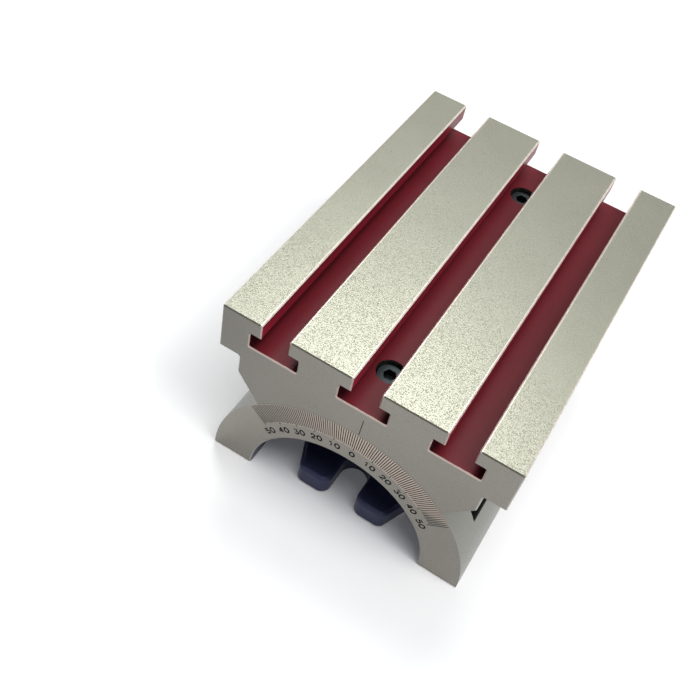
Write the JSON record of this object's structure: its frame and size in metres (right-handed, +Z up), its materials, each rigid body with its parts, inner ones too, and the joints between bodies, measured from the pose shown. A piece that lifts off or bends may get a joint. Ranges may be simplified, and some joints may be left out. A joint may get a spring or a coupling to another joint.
{
  "type": "tilting machine table",
  "caption": "Slotted cast-iron work table on a saddle that swivels to either side on a half-pipe base, locked by clamp screws in the middle slot.",
  "frame": {"origin": "on the floor under the middle of the table, on the axis that the table tilts about", "axes": "+Z up, +Y along the tilt axis from the scale end to the plain end, +X to the right across the table"},
  "size_m": [0.127, 0.178, 0.0906],
  "materials": {
    "table_iron": "ground top and ends, red enamel inside the slots",
    "base_iron": "machined outside and ends, dark blue enamel inside",
    "washer_steel": "hardened steel",
    "screw_steel": "black oxide",
    "shoe_iron": "as cast, flange machined",
    "scale_marks": "dark filling in engraved marks"
  },
  "bodies": {
    "base": {"arch_base": "base_iron"},
    "table": {"swivel_table": "table_iron", "front_washer": "washer_steel", "rear_washer": "washer_steel"},
    "front_screw": {"front_clamp_screw": "screw_steel"},
    "rear_screw": {"rear_clamp_screw": "screw_steel"},
    "front_shoe": {"front_clamp_shoe": "shoe_iron"},
    "rear_shoe": {"rear_clamp_shoe": "shoe_iron"}
  },
  "joints": [
    {"name": "table_tilt", "type": "hinge", "parent": "base", "child": "table", "pos_m": [0, 0, 0], "axis": [0, 1, 0], "range_deg": [-45, 45]},
    {"name": "front_screw_turn", "type": "hinge", "parent": "table", "child": "front_screw", "pos_m": [0, -0.0655, 0.07], "axis": [0, 0, 1], "range_deg": [0, 270]},
    {"name": "rear_screw_turn", "type": "hinge", "parent": "table", "child": "rear_screw", "pos_m": [0, 0.0655, 0.07], "axis": [0, 0, 1], "range_deg": [0, 270]},
    {"name": "front_shoe_drop", "type": "slide", "parent": "table", "child": "front_shoe", "axis": [0, 0, -1], "range_m": [0, 0.0009375]},
    {"name": "rear_shoe_drop", "type": "slide", "parent": "table", "child": "rear_shoe", "axis": [0, 0, -1], "range_m": [0, 0.0009375]}
  ],
  "couplings": [
    {"joint": "front_screw_turn", "follows": "front_shoe_drop", "rad_per_m": 5026.5},
    {"joint": "rear_screw_turn", "follows": "rear_shoe_drop", "rad_per_m": 5026.5}
  ]
}
